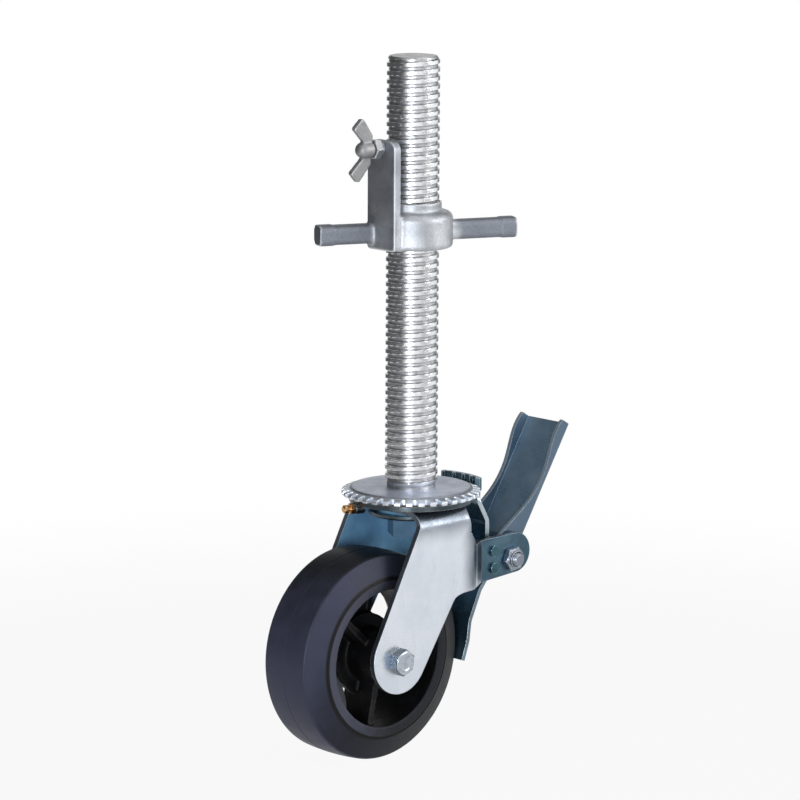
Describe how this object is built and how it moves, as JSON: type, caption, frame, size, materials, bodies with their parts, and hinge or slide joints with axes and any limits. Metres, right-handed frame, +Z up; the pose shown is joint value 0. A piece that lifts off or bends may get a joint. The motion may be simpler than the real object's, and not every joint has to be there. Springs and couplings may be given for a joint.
{
  "type": "scaffold castor",
  "caption": "Swivel castor on a threaded jack stem, with a solid rubber wheel in a pressed fork, a pedal that locks wheel and swivel, and a handled jack nut with a wing bolt",
  "frame": {"origin": "on the swivel axis, at the foot of the stem on top of the toothed plate", "axes": "+Z up along the stem, wheel trailing towards -X with its axle along Y, brake pedal rising towards +X"},
  "size_m": [0.2634, 0.1024, 0.4976],
  "materials": {
    "stem_zinc": "bright plated thread, worn to dull steel at the crests",
    "ring_steel": "dull plated, scuffed on top",
    "ball_steel": "polished and greased",
    "teal_zinc": "dark blue plating with a soft shine",
    "felt": "grease-soaked brown felt",
    "nipple_brass": "bright brass",
    "bright_zinc": "bright zinc plate",
    "fork_zinc": "pale blue-white zinc plate, satin",
    "black_iron": "black painted casting",
    "rubber": "blue-black rubber with a dull bloom",
    "dark_steel": "oiled dark steel",
    "cast_nut": "dull grey plated casting"
  },
  "bodies": {
    "stem": {"stem": "stem_zinc", "lock_ring": "ring_steel", "race_balls": "ball_steel", "thrust_washer": "bright_zinc", "lower_race": "teal_zinc", "king_nut": "bright_zinc"},
    "fork": {"fork": "fork_zinc", "crown_race": "teal_zinc", "dust_seal": "felt", "grease_nipple": "nipple_brass", "axle_bolt": "bright_zinc", "axle_nut": "bright_zinc", "axle_sleeve": "dark_steel", "hub_washers": "dark_steel", "pivot_bolt": "bright_zinc", "pivot_nut": "bright_zinc", "pivot_sleeve": "dark_steel", "pivot_washers": "dark_steel", "guide_rivets": "bright_zinc"},
    "wheel": {"wheel_core": "black_iron", "tyre": "rubber", "wheel_rollers": "ball_steel", "roller_cage": "dark_steel"},
    "brake_lever": {"brake_lever": "teal_zinc"},
    "brake_plate": {"brake_plate": "teal_zinc", "lock_block": "teal_zinc"},
    "jack_nut": {"jack_nut": "cast_nut", "wing_jam_nut": "bright_zinc"},
    "wing_bolt": {"wing_bolt": "cast_nut"}
  },
  "joints": [
    {"name": "swivel", "type": "hinge", "parent": "stem", "child": "fork", "pos_m": [0, 0, 0], "axis": [0, 0, 1], "continuous": true},
    {"name": "wheel_spin", "type": "hinge", "parent": "fork", "child": "wheel", "pos_m": [-0.048, 0, -0.114], "axis": [0, 1, 0], "continuous": true},
    {"name": "brake_pedal", "type": "hinge", "parent": "fork", "child": "brake_lever", "pos_m": [0.073, 0, -0.059], "axis": [0, 1, 0], "range_deg": [0, 35]},
    {"name": "brake_slide", "type": "slide", "parent": "fork", "child": "brake_plate", "axis": [-1, 0, 0], "range_m": [0, 0.0018]},
    {"name": "jack_slide", "type": "slide", "parent": "stem", "child": "jack_nut", "axis": [0, 0, 1], "range_m": [-0.12, 0.08]},
    {"name": "wing_turn", "type": "hinge", "parent": "jack_nut", "child": "wing_bolt", "pos_m": [-0.031, 0, 0.2455], "axis": [1, 0, 0], "continuous": true}
  ],
  "couplings": [
    {"joint": "brake_slide", "follows": "brake_pedal", "m_per_rad": 0.002946}
  ]
}
